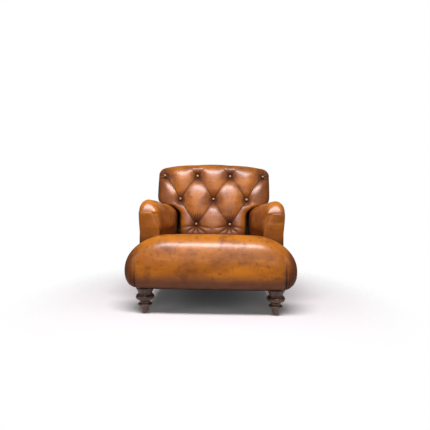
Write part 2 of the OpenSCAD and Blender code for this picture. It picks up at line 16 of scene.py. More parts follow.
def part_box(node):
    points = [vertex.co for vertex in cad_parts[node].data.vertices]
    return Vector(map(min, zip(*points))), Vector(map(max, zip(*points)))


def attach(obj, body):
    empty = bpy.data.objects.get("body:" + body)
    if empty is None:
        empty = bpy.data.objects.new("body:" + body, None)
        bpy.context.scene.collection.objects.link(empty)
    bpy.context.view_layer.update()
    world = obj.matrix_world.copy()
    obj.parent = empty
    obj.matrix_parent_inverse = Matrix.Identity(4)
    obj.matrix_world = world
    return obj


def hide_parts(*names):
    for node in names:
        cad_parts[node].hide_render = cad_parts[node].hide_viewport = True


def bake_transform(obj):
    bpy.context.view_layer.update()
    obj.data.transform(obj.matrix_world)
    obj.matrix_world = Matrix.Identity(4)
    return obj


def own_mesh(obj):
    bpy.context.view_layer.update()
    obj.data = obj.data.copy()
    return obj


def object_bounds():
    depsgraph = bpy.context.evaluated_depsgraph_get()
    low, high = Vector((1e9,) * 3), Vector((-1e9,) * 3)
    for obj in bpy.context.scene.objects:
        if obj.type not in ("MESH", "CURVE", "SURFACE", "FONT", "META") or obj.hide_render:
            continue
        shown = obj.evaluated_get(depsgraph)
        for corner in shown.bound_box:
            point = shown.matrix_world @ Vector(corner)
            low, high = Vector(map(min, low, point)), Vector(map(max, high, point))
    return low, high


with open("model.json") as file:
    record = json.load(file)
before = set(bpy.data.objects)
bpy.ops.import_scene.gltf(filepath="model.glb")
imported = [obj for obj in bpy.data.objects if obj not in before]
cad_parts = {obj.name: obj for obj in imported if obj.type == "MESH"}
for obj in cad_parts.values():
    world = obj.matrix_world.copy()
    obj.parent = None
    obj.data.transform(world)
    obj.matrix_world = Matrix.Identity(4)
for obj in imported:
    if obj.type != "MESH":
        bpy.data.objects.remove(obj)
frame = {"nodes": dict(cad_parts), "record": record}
CAD_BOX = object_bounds()
LOG = logging.getLogger("armchair")
Array = np.ndarray
Point = tuple[float, float, float]
Colour = tuple[float, float, float]

ROOT, DECK, TRAVEL = "frame", "seat_deck", "seat_travel"


class Side(Enum):
    """The chair's two sides, seen from the front."""

    LEFT = -1
    RIGHT = 1

    @property
    def word(self) -> str:
        """The side's name as the nodes spell it."""
        return self.name.lower()


# ---------------------------------------------------------------- shader maths


@dataclass(frozen=True)
class Value:
    """A number that varies over a surface; arithmetic on it adds Math nodes."""

    paint: "Paint"
    socket: bpy.types.NodeSocket

    def __add__(self, other: Any) -> "Value":
        """Sum."""
        return self.paint.math("ADD", self, other)

    def __rsub__(self, other: Any) -> "Value":
        """Difference from a number."""
        return self.paint.math("SUBTRACT", other, self)

    def __mul__(self, other: Any) -> "Value":
        """Product."""
        return self.paint.math("MULTIPLY", self, other)

    __radd__ = __add__
    __rmul__ = __mul__

    def stretch(self, low: float, high: float, to_low: float = 0.0, to_high: float = 1.0) -> "Value":
        """Maps low..high to to_low..to_high, smoothly and within those ends.

        Args:
            low: the value that becomes to_low.
            high: the value that becomes to_high.
            to_low: the result's first end.
            to_high: the result's other end.
        Returns:
            The mapped value.
        """
        node = self.paint.node(
            "ShaderNodeMapRange",
            {"interpolation_type": "SMOOTHSTEP"},
            {0: self, 1: low, 2: high, 3: to_low, 4: to_high},
        )
        return Value(self.paint, node.outputs[0])


class Paint:
    """A material under construction, with one Principled shader."""

    def __init__(self, name: str) -> None:
        """Starts an empty material with that name."""
        self.material = bpy.data.materials.new(name)
        self.material.use_nodes = True
        self.tree = self.material.node_tree
        self.tree.nodes.clear()
        self.shader = self.tree.nodes.new("ShaderNodeBsdfPrincipled")
        output = self.tree.nodes.new("ShaderNodeOutputMaterial")
        self.tree.links.new(self.shader.outputs[0], output.inputs["Surface"])
        self.place = self.node("ShaderNodeTexCoord").outputs["Object"]

    def node(
        self, kind: str, settings: dict[str, Any] | None = None, values: dict[Any, Any] | None = None
    ) -> bpy.types.Node:
        """Adds a node.

        Args:
            kind: the node's type.
            settings: its properties.
            values: numbers, colours or links for its sockets, by name or number.
        Returns:
            The node.
        """
        node = self.tree.nodes.new(kind)
        for key, value in (settings or {}).items():
            setattr(node, key, value)
        for key, value in (values or {}).items():
            self.feed(node.inputs[key], value)
        return node

    def feed(self, socket: bpy.types.NodeSocket, value: Any) -> None:
        """Sets a socket to a number or colour, or links it."""
        if isinstance(value, Value):
            value = value.socket
        if isinstance(value, bpy.types.NodeSocket):
            self.tree.links.new(value, socket)
        elif isinstance(value, tuple) and len(value) == 3 and socket.type == "RGBA":
            socket.default_value = (*value, 1)
        else:
            socket.default_value = value

    def math(self, operation: str, *terms: Any) -> Value:
        """One Math node on these terms."""
        node = self.node("ShaderNodeMath", {"operation": operation}, dict(enumerate(terms)))
        return Value(self, node.outputs[0])

    def scaled(self, scale: Point) -> bpy.types.NodeSocket:
        """The place on the surface, stretched by a factor on each axis."""
        return self.node("ShaderNodeMapping", None, {"Vector": self.place, "Scale": scale}).outputs[0]

    def noise(
        self, scale: float, detail: float = 3, rough: float = 0.5, warp: float = 0, at: Any = None
    ) -> Value:
        """A cloudy pattern from 0 to 1.

        Args:
            scale: patches per metre.
            detail: number of finer layers.
            rough: how strong the finer layers are.
            warp: how far the pattern is distorted.
            at: the place to read, if not the object's own.
        Returns:
            The pattern.
        """
        values = {
            "Vector": at or self.place, "Scale": scale,
            "Detail": detail, "Roughness": rough, "Distortion": warp,
        }
        return Value(self, self.node("ShaderNodeTexNoise", None, values).outputs["Fac"])

    def cells(self, scale: float) -> Value:
        """The distance to the nearest of many scattered points."""
        node = self.node("ShaderNodeTexVoronoi", None, {"Vector": self.place, "Scale": scale})
        return Value(self, node.outputs["Distance"])

    def marked(self, name: str) -> Value:
        """A value stored on the mesh's points, or 0 where it has none."""
        return Value(self, self.node("ShaderNodeAttribute", {"attribute_name": name}).outputs["Fac"])

    def mix(self, share: Any, a: Any, b: Any) -> bpy.types.NodeSocket:
        """A colour between a and b."""
        return self.node("ShaderNodeMix", {"data_type": "RGBA"}, {0: share, 6: a, 7: b}).outputs[2]

    def relief(self, height: Value, depth: float, strength: float, over: Any = None) -> bpy.types.NodeSocket:
        """A bumpy normal.

        Args:
            height: the pattern, from 0 to 1.
            depth: its height in metres.
            strength: how much of it shows.
            over: a bumpy normal that lies under this one, if there is one.
        Returns:
            The normal.
        """
        values = {"Height": height, "Distance": depth, "Strength": strength}
        if over:
            values["Normal"] = over
        return self.node("ShaderNodeBump", None, values).outputs[0]

    def done(self, **values: Any) -> bpy.types.Material:
        """Feeds the shader's sockets, with underscores for spaces, and gives the material."""
        for key, value in values.items():
            self.feed(self.shader.inputs[key.replace("_", " ")], value)
        return self.material


# ---------------------------------------------------------------- finishes


@dataclass(frozen=True)
class Hide:
    """Leather polished by hand rubbing: amber, browner in patches; painted shade in folds, wear and painted
    highlight on crests.
    """

    name: str = "polished_hide"
    # Dark brown of the random patches, also the colour of the painted shade.
    deep: Colour = (0.11, 0.026, 0.003)
    amber: Colour = (0.42, 0.128, 0.006)
    # Lighter colour for random streaks of wear and for crests, which are partly wear and partly painted
    # highlight.
    rubbed_and_highlight: Colour = (0.62, 0.225, 0.014)
    # Colour of the painted shade in creases, seams and gaps.
    fold: Colour = (0.016, 0.004, 0.002)
    gloss: float = 0.34
    coat: float = 0.50
    clouds_per_metre: float = 3.2
    streaks_per_metre: float = 7
    blots_per_metre: float = 11
    specks_per_metre: float = 42
    pores_per_metre: float = 420
    grain_depth: float = 0.0006
    dent_depth: float = 0.005

    def make(self) -> bpy.types.Material:
        """Builds the material."""
        p = Paint(self.name)
        clouds = p.noise(self.clouds_per_metre, 4, 0.55)
        blots = p.noise(self.blots_per_metre, 5, 0.62, 0.4)
        specks = p.noise(self.specks_per_metre, 3, 0.6)
        streaks = p.noise(self.streaks_per_metre, 4, 0.6, 0.2, p.scaled((0.5, 1.0, 1.8)))
        patches = clouds.stretch(0.3, 0.66) * 0.6 + streaks.stretch(0.35, 0.65) * 0.4
        tone = p.mix(0.30, p.mix(patches, self.deep, self.amber), self.amber)
        # Lighter along random streaks of wear and on crests: partly wear, partly painted highlight.
        tone = p.mix(streaks.stretch(0.5, 0.7) * 0.25 + p.marked("crest") * 0.75, tone, self.rubbed_and_highlight)
        tone = p.mix(blots.stretch(0.46, 0.72) * 0.66, tone, self.deep)
        tone = p.mix(specks.stretch(0.55, 0.74) * 0.55, tone, self.deep)
        # Painted shade: darker where the mesh is marked as shaded, darkest in creases, seams and gaps.
        shade = p.marked("shade")
        tone = p.mix(shade.stretch(0.0, 1.0) * 0.85, tone, self.deep)
        crease = p.marked("crease")
        tone = p.mix(crease.stretch(0.02, 0.95) * 0.95, tone, self.fold)
        pores = p.cells(self.pores_per_metre)
        wrinkles = p.noise(70, 4, 0.6, 1.5)
        dents = p.noise(14, 2, 0.4, 0.4)
        grain = p.relief(pores * 0.35 + wrinkles * 0.65, self.grain_depth, 0.4)
        return p.done(
            Base_Color=tone,
            Roughness=self.gloss + blots.stretch(0.35, 0.7) * 0.12 + crease * 0.35 + shade * 0.2,
            Normal=p.relief(dents, self.dent_depth, 0.3, grain),
            Coat_Weight=self.coat * (1.0 - shade.stretch(0.0, 1.0) * 0.9),
            Coat_Roughness=0.24, Specular_IOR_Level=0.27,
        )


@dataclass(frozen=True)
class Timber:
    """Wood with its grain along one axis."""

    name: str
    dark: Colour
    light: Colour
    gloss: float
    along: Point = (60, 60, 4)
    coat: float = 0.0

    def make(self) -> bpy.types.Material:
        """Builds the material."""
        p = Paint(self.name)
        grain = p.noise(1, 5, 0.6, 1.2, p.scaled(self.along))
        rings = p.noise(0.35, 3, 0.5, 2.0, p.scaled(self.along))
        tone = p.mix(grain.stretch(0.3, 0.7), self.dark, self.light)
        tone = p.mix(rings.stretch(0.5, 0.75) * 0.5, tone, self.dark)
        return p.done(
            Base_Color=tone, Roughness=self.gloss + grain * 0.15, Normal=p.relief(grain, 0.0006, 0.4),
            Coat_Weight=self.coat,
        )


@dataclass(frozen=True)
class Steel:
    """Drawn or plated steel."""

    name: str = "steel"
    tint: Colour = (0.42, 0.41, 0.39)
    worn: Colour = (0.2, 0.17, 0.14)

    def make(self) -> bpy.types.Material:
        """Builds the material."""
        p = Paint(self.name)
        wear = p.noise(120, 4, 0.6)
        tone = p.mix(wear.stretch(0.45, 0.75), self.tint, self.worn)
        return p.done(Base_Color=tone, Metallic=1.0, Roughness=wear.stretch(0.3, 0.8, 0.25, 0.5))


@dataclass(frozen=True)
class Cloth:
    """Woven cloth or webbing, with its threads at a spacing in metres."""

    name: str
    light: Colour
    dark: Colour
    thread: float = 0.0025

    def make(self) -> bpy.types.Material:
        """Builds the material."""
        p = Paint(self.name)
        turns = 2 * math.pi / self.thread
        parts = p.node("ShaderNodeSeparateXYZ", None, {0: p.place})
        across, along, up = (p.math("SINE", Value(p, way) * turns) for way in parts.outputs)
        weave = 0.5 + 0.2 * (across + along + up)
        fluff = p.noise(180, 3, 0.6)
        tone = p.mix((weave * fluff * 1.6).stretch(0.1, 0.8), self.dark, self.light)
        return p.done(Base_Color=tone, Roughness=0.9, Normal=p.relief(weave * 0.6 + fluff * 0.4, 0.0008, 0.6))


@dataclass(frozen=True)
class Stuffing:
    """Foam, wadding or fibre."""

    name: str
    light: Colour
    dark: Colour
    fluff: float

    def make(self) -> bpy.types.Material:
        """Builds the material."""
        p = Paint(self.name)
        lumps = p.noise(self.fluff, 6, 0.7, 1.0)
        tone = p.mix(lumps.stretch(0.3, 0.7), self.dark, self.light)
        return p.done(Base_Color=tone, Roughness=0.95, Normal=p.relief(lumps, 0.003, 0.7))


# ---------------------------------------------------------------- modelling


def ease(t: Array | float) -> Array | float:
    """A smooth step from 0 to 1 as t goes from 0 to 1."""
    t = np.clip(t, 0, 1)
    return t * t * (3 - 2 * t)


def above(value: Array, start: Array | float, run: float) -> Array:
    """A mask that is 0 up to a start and eases to 1 over a run beyond it."""
    return ease((value - start) / run)


def below(value: Array, start: Array | float, run: float) -> Array:
    """A mask that is 0 down to a start and eases to 1 over a run under it."""
    return ease((start - value) / run)


def pillow(t: Array, power: float) -> Array:
    """Full in the middle and rounded off to nothing at -1 and 1."""
    return np.maximum(0, 1 - np.abs(t) ** power) ** (1 / power)


def clear_selection() -> None:
    """Leaves nothing selected, in object mode."""
    if bpy.context.mode != "OBJECT":
        bpy.ops.object.mode_set(mode="OBJECT")
    bpy.ops.object.select_all(action="DESELECT")


def only(obj: bpy.types.Object) -> bpy.types.Object:
    """Makes obj the one selected and active object."""
    clear_selection()
    obj.select_set(True)
    bpy.context.view_layer.objects.active = obj
    return obj


def points(obj: bpy.types.Object) -> Array:
    """The mesh's points as an n by 3 array."""
    flat = np.empty(len(obj.data.vertices) * 3)
    obj.data.vertices.foreach_get("co", flat)
    return flat.reshape(-1, 3)


def move_points(obj: bpy.types.Object, places: Array) -> None:
    """Puts the mesh's points at new places."""
    obj.data.vertices.foreach_set("co", np.ascontiguousarray(places, float).ravel())
    obj.data.update()


def normals(obj: bpy.types.Object) -> Array:
    """The mesh's point normals as an n by 3 array."""
    flat = np.empty(len(obj.data.vertices) * 3)
    obj.data.vertices.foreach_get("normal", flat)
    return flat.reshape(-1, 3)


def mark(obj: bpy.types.Object, name: str, amounts: Array) -> None:
    """Stores an amount from 0 to 1 on each point."""
    found = obj.data.attributes.get(name) or obj.data.attributes.new(name, "FLOAT", "POINT")
    found.data.foreach_set("value", np.clip(amounts, 0, 1).astype(np.float32))


def new_grid(name: str, across: int, up: int) -> bpy.types.Object:
    """A flat grid from -1 to 1 in X and Y.

    Args:
        name: the piece's name.
        across: faces along X.
        up: faces along Y.
    Returns:
        The grid.
    """
    clear_selection()
    bpy.ops.mesh.primitive_grid_add(x_subdivisions=across, y_subdivisions=up, size=2)
    obj = bpy.context.active_object
    obj.name = obj.data.name = name
    return obj


def new_ball(name: str, rings: Sequence[Array], first: Point, last: Point) -> bpy.types.Object:
    """A closed solid through a stack of rings, from a ball whose circles are drawn onto them.

    Args:
        name: the piece's name.
        rings: arrays of n by 3 points, each ring with the same number of points.
        first: the point that closes the first ring.
        last: the point that closes the last ring.
    Returns:
        The solid, with its faces outwards.
    """
    clear_selection()
    count = len(rings[0])
    bpy.ops.mesh.primitive_uv_sphere_add(segments=count, ring_count=len(rings) + 1, radius=1)
    obj = bpy.context.active_object
    obj.name = obj.data.name = name
    at = points(obj)
    row = np.rint((np.pi / 2 - np.arcsin(np.clip(at[:, 2], -1, 1))) / np.pi * (len(rings) + 1)).astype(int)
    column = np.rint(np.arctan2(at[:, 1], at[:, 0]) / (2 * np.pi) * count).astype(int) % count
    stack = np.array(rings)
    placed = stack[np.clip(row - 1, 0, len(rings) - 1), column]
    placed[row <= 0] = first
    placed[row > len(rings)] = last
    move_points(obj, placed)
    face_outwards(obj)
    return obj


def face_outwards(obj: bpy.types.Object) -> None:
    """Merges doubles and turns every face outwards."""
    only(obj)
    bpy.ops.object.mode_set(mode="EDIT")
    bpy.ops.mesh.select_all(action="SELECT")
    bpy.ops.mesh.remove_doubles(threshold=1e-6)
    bpy.ops.mesh.normals_make_consistent(inside=False)
    bpy.ops.object.mode_set(mode="OBJECT")


def apply(obj: bpy.types.Object, kind: str, **settings: Any) -> bpy.types.Object:
    """Adds a modifier with these settings and applies it."""
    only(obj)
    modifier = obj.modifiers.new(kind.title(), kind)
    for key, value in settings.items():
        setattr(modifier, key, value)
    bpy.ops.object.modifier_apply(modifier=modifier.name)
    return obj


def thicken(obj: bpy.types.Object, thickness: float) -> None:
    """Gives a sheet a thickness in metres, with its faces outwards."""
    face_outwards(obj)
    apply(obj, "SOLIDIFY", thickness=thickness, offset=0.0)
    face_outwards(obj)


def even_skin(obj: bpy.types.Object, voxel: float, rounds: int) -> bpy.types.Object:
    """Turns overlapping solids into one even skin and softens it.

    Args:
        obj: the solid.
        voxel: size of the skin's faces in metres.
        rounds: how often its points are averaged.
    Returns:
        The same object.
    """
    apply(obj, "REMESH", mode="VOXEL", voxel_size=voxel)
    return apply(obj, "SMOOTH", factor=0.5, iterations=rounds)


def join(first: bpy.types.Object, *others: bpy.types.Object) -> bpy.types.Object:
    """Joins the others into the first."""
    only(first)
    for other in others:
        other.select_set(True)
    bpy.ops.object.join()
    return first


def copy_node(node: bpy.types.Object, name: str) -> bpy.types.Object:
    """A piece with its own merged copy of a node's mesh."""
    obj = bpy.data.objects.new(name, node.data.copy())
    bpy.context.scene.collection.objects.link(obj)
    only(obj)
    bpy.ops.object.mode_set(mode="EDIT")
    bpy.ops.mesh.select_all(action="SELECT")
    bpy.ops.mesh.remove_doubles(threshold=1e-5)
    bpy.ops.object.mode_set(mode="OBJECT")
    return obj


def finish(
    obj: bpy.types.Object, material: bpy.types.Material, slot: str, body: str | None, *nodes: str
) -> bpy.types.Object:
    """Dresses a new piece and puts it in place of its nodes.

    Args:
        obj: the piece.
        material: its finish.
        slot: the record's material slot; not used.
        body: the body it rides on, or None for a piece between two bodies, left on neither.
        nodes: the CAD nodes it stands for.
    Returns:
        The same object.
    """
    only(obj)
    bpy.ops.object.shade_smooth()
    obj.data.materials.clear()
    obj.data.materials.append(material)
    if nodes:
        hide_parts(*nodes)
    if body:
        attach(obj, body)
    LOG.info("%s: %d faces", obj.name, len(obj.data.polygons))
    return obj


@dataclass
class Padding:
    """Stuffing that keeps its node's shape, but is drawn in wherever it would reach the leather."""

    finishes: dict[str, bpy.types.Material]
    gap: float = 0.007
    voxel: float = 0.0055

    def fill(self, cover: bpy.types.Object, node: str, slot: str, body: str) -> bpy.types.Object:
        """Builds the stuffing under a cover.

        Args:
            cover: the leather, before it is given a thickness.
            node: the CAD node of the stuffing.
            slot: its material slot.
            body: the body it rides on.
        Returns:
            The stuffing.
        """
        skin = BVHTree.FromPolygons(
            [tuple(at) for at in points(cover)], [tuple(face.vertices) for face in cover.data.polygons]
        )
        obj = copy_node(frame["nodes"][node], f"{node}_filling")
        even_skin(obj, self.voxel, 1)
        placed = points(obj)
        for index, at in enumerate(placed):
            spot, out, _, _ = skin.find_nearest(Vector(at))
            if (Vector(at) - spot).dot(out) > -self.gap:
                placed[index] = spot - out * self.gap
        move_points(obj, placed)
        finish(obj, self.finishes[slot], slot, body, node)
        return obj


@dataclass(frozen=True)
class Fold:
    """A fold in leather along a line in X and Z, straight or slightly bowed, with a band of painted shade
    along it.
    """

    start: tuple[float, float]
    end: tuple[float, float]
    deep: float
    shallow: float
    width: float = 0.016
    slack: float = 0.0
    # Reach in metres of the painted shade along the fold.
    dark: float = 0.0042
    bow: float = 0.0

    def depth(self, x: Array, z: Array) -> tuple[Array, Array]:
        """How far the fold draws the leather in.

        Args:
            x: places across.
            z: places up.
        Returns:
            The depth in metres, and how much painted shade each point gets along the fold, from 0 to 1.
        """
        a, b = np.array(self.start), np.array(self.end)
        way = b - a
        along = np.clip(((x - a[0]) * way[0] + (z - a[1]) * way[1]) / (way @ way), 0, 1)
        bowed = 4 * along * (1 - along)
        aside = np.array([-way[1], way[0]]) / np.hypot(*way) * self.bow
        off_x = x - a[0] - along * way[0] - bowed * aside[0]
        off_z = z - a[1] - along * way[1] - bowed * aside[1]
        away = np.hypot(off_x, off_z)
        reach = self.deep + (self.shallow - self.deep) * along - self.slack * bowed
        sharp, broad = np.exp(-away / self.width), np.exp(-((away / (self.width * 3.2)) ** 2))
        return reach * (0.5 * sharp + 0.5 * broad), np.exp(-away / self.dark) * np.clip(reach / 0.012, 0, 1)


def aimed(start: tuple[float, float], turn: float, reach: float) -> tuple[float, float]:
    """The place at a reach from a start, turned by so many degrees from straight up."""
    angle = math.radians(turn)
    return start[0] + math.sin(angle) * reach, start[1] + math.cos(angle) * reach


# ---------------------------------------------------------------- the chair's lines


@dataclass(frozen=True)
class Lines:
    """Heights, slopes and edges that several pieces share, taken from the CAD nodes."""

    rail_back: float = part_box("back_rail")[0].y
    rail_low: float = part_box("front_rail")[0].z
    rail_high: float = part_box("front_rail")[1].z
    chair_high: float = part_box("back_cover")[1].z
    lean: float = 0.1275
    foot_depth: float = 0.04
    arm_front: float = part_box("left_arm_facing")[0].y
    arm_high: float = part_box("left_arm_cover")[1].z
    arm_outer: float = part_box("right_arm_cover")[1].x
    arm_drop: float = 0.034
    arm_run: float = 0.56
    inner_front: float = 0.300
    ridge_front: float = 0.362
    narrowing: float = 0.045
    ridge_shift: float = 0.012
    narrowing_run: float = 0.42

    def upright_front(self, z: Array | float) -> Array | float:
        """Front edge of the back uprights at a height."""
        return self.rail_back + self.lean * np.maximum(0, z - self.rail_high)

    def upright_rear(self, z: Array | float) -> Array | float:
        """Rear edge of the back uprights at a height."""
        heel = self.rail_back + self.foot_depth
        top = CAD_BOX[1].y - 0.0022
        return heel + (top - heel) / (self.chair_high - self.rail_high) * np.maximum(0, z - self.rail_high)

    def arm_top(self, y: Array | float) -> Array | float:
        """Height of the arm's top at a depth."""
        return self.arm_high - self.arm_drop * above(y, self.arm_front, self.arm_run)

    def arm_inner(self, y: Array | float) -> Array | float:
        """Distance of the arm's inner face from the middle."""
        return self.inner_front - self.narrowing * above(y, self.arm_front, self.narrowing_run)

    def arm_ridge(self, y: Array | float) -> Array | float:
        """Distance of the arm's ridge from the middle."""
        return self.ridge_front - self.ridge_shift * above(y, self.arm_front, self.narrowing_run)


LINES = Lines()


# ---------------------------------------------------------------- seat


@dataclass
class Seat:
    """The sprung seat's leather: a full rounded front, and the platform between the arms."""

    hide: bpy.types.Material
    padding: Padding
    half_width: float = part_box("seat_cover")[1].x + 0.006
    front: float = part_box("seat_cover")[0].y
    rear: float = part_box("seat_cover")[1].y
    high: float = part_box("seat_cover")[1].z
    low: float = LINES.rail_low - 0.005
    middle: float = 0.241
    roll_depth: float = 0.122
    shoulder: float = 0.235
    corner: float = 0.092
    under: float = 0.072
    bow: float = 0.010
    fall: float = 0.122
    fall_start: float = 0.12
    deck: float = 0.306
    rim: float = 0.010
    dome: float = 0.007
    dome_half: float = 0.34
    pleat_x: float = 0.403
    voxel: float = 0.0043

    def crown(self, x: Array | float) -> Array | float:
        """How far the middle of the seat stands above its plain section."""
        return self.dome * np.maximum(0, 1 - (x / self.dome_half) ** 2)

    def end_share(self, x: float, length: float) -> float:
        """How much of the roll is left near its ends: 1, and down to 0 over the last length."""
        t = max(0.0, (abs(x) - (self.half_width - length)) / length)
        return math.sqrt(max(0.0, 1 - min(1.0, t) ** 2))

    def roll_ring(self, x: float) -> Array:
        """The front roll's outline at x, anticlockwise from its back."""
        level, upright = 4, 21
        back = LINES.arm_front - 0.008
        axis = self.front + self.roll_depth
        up = (self.high - self.middle) * self.end_share(x, self.shoulder) + self.crown(x)
        down = (self.middle - self.low) * self.end_share(x, self.under)
        out = self.roll_depth * self.end_share(x, self.corner) ** 0.85 - self.bow * (x / self.half_width) ** 2
        angle = np.radians(np.linspace(90, -90, 49))
        y = axis - out * np.abs(np.cos(angle)) ** np.where(angle > 0, 0.92, 0.6)
        z = self.middle + np.where(angle > 0, up, down) * np.sin(angle)
        flat_y = np.linspace(axis, back, level + 1)[1:]
        rear_z = np.linspace(z[-1], z[0], upright + 2)[1:-1]
        ring_y = np.concatenate([y, flat_y, np.full(upright, back), flat_y[::-1]])
        ring_z = np.concatenate([z, np.full(level, z[-1]), rear_z, np.full(level, z[0])])
        return np.stack([np.full_like(ring_y, x), ring_y, ring_z], 1)

    def roll(self) -> bpy.types.Object:
        """The front roll as a closed solid."""
        turns = np.radians(np.linspace(-88.5, 88.5, 71))
        rings = [self.roll_ring(self.half_width * math.sin(t)) for t in turns]
        ends = [(side * self.half_width, self.front + self.roll_depth, self.middle) for side in (-1, 1)]
        return new_ball("seat_roll", rings, *ends)

    def top_height(self, x: Array, y: Array) -> Array:
        """Height of the seat's top: a low crown that falls towards the back and the arms."""
        t = np.clip((np.abs(x) - (self.half_width - self.shoulder)) / self.shoulder, 0, 1)
        over = (self.high - self.middle) * np.sqrt(1 - t**2) + self.crown(x)
        return self.middle + over - self.fall * np.maximum(0, y - self.front - self.fall_start)

    def platform(self) -> bpy.types.Object:
        """The part of the seat between the arms, as a closed solid."""
        clear_selection()
        bpy.ops.mesh.primitive_cube_add(size=2)
        obj = bpy.context.active_object
        bpy.ops.object.mode_set(mode="EDIT")
        bpy.ops.mesh.subdivide(number_cuts=40)
        bpy.ops.object.mode_set(mode="OBJECT")
        at = points(obj)
        start = self.front + self.roll_depth - 0.02
        y = start + (self.rear - start) * (at[:, 1] + 1) / 2
        x = at[:, 0] * (LINES.arm_inner(y) - 0.0045)
        edge = np.abs(at[:, 0]) ** 14 + np.maximum(0, at[:, 1]) ** 14
        high = self.top_height(x, y) - self.rim * edge
        z = self.deck + (high - self.deck) * (at[:, 2] + 1) / 2
        move_points(obj, np.stack([x, y, z], 1))
        return obj

    def pleats(self, side: Side) -> list[Fold]:
        """The gathers where the leather turns a front corner, with one more on the right."""
        s, x, low = side.value, self.pleat_x, self.low
        deep = 0.012 if side is Side.LEFT else 0.017
        lines = [
            Fold((s * x, low), (s * (x - 0.008), 0.310), deep, 0.004, 0.008, dark=0.009),
            Fold((s * (x + 0.018), low), (s * (x + 0.012), 0.290), deep * 0.75, 0.003, 0.007, dark=0.007),
            Fold((s * (x + 0.045), 0.185), (s * (x + 0.054), 0.285), deep * 0.4, 0.004, 0.006, dark=0.008),
        ]
        if side is Side.RIGHT:
            last = (s * (x + 0.036), low), (s * (x + 0.028), 0.265)
            lines.append(Fold(*last, deep * 0.75, 0.003, 0.007, dark=0.008))
        return lines

    def build(self) -> bpy.types.Object:
        """Models the leather and dresses it."""
        obj = join(self.roll(), self.platform())
        obj.name = obj.data.name = "seat_leather"
        face_outwards(obj)
        even_skin(obj, self.voxel, 14)
        at, out = points(obj), normals(obj)
        x, y, z = np.abs(at[:, 0]), at[:, 1], at[:, 2]
        ahead = above(-out[:, 1], 0.05, 0.5) * ease((0.33 - z) / 0.06 + 0.3)
        # The pleats sink the leather, and each gets a band of painted shade.
        depth, crease = np.zeros(len(at)), np.zeros(len(at))
        for fold in self.pleats(Side.LEFT) + self.pleats(Side.RIGHT):
            sunk, in_it = fold.depth(at[:, 0], z)
            depth, crease = np.maximum(depth, sunk), np.maximum(crease, in_it)
        move_points(obj, at - out * (depth * ahead)[:, None])
        # Painted shade in the pleats, in the gap by the arms, under the roll, on its low front and at its
        # ends; the top is lighter, partly from wear and partly from painted highlight.
        gap = above(y, LINES.arm_front - 0.035, 0.03) * above(x, LINES.arm_inner(y) - 0.03, 0.03)
        under = below(z, self.low + 0.045, 0.045)
        lower, ends = below(z, 0.270, 0.10), 0.9 * above(x, 0.385, 0.05) * below(z, 0.40, 0.06)
        mark(obj, "crease", np.maximum.reduce([crease * ahead, gap * 0.8, under * 0.55]))
        mark(obj, "crest", 0.6 * above(z, 0.33, 0.09) * (1 - gap))
        mark(obj, "shade", np.maximum(lower, ends) + 0.3 * np.minimum(lower, ends))
        finish(obj, self.hide, "leather", None, "seat_cover")
        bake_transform(obj)
        self.padding.fill(obj, "seat_foam", "foam", DECK)
        self.padding.fill(obj, "seat_fibre_pad", "fibre", DECK)
        self.padding.fill(obj, "front_border_pad", "fibre", ROOT)
        return obj


# ---------------------------------------------------------------- arms


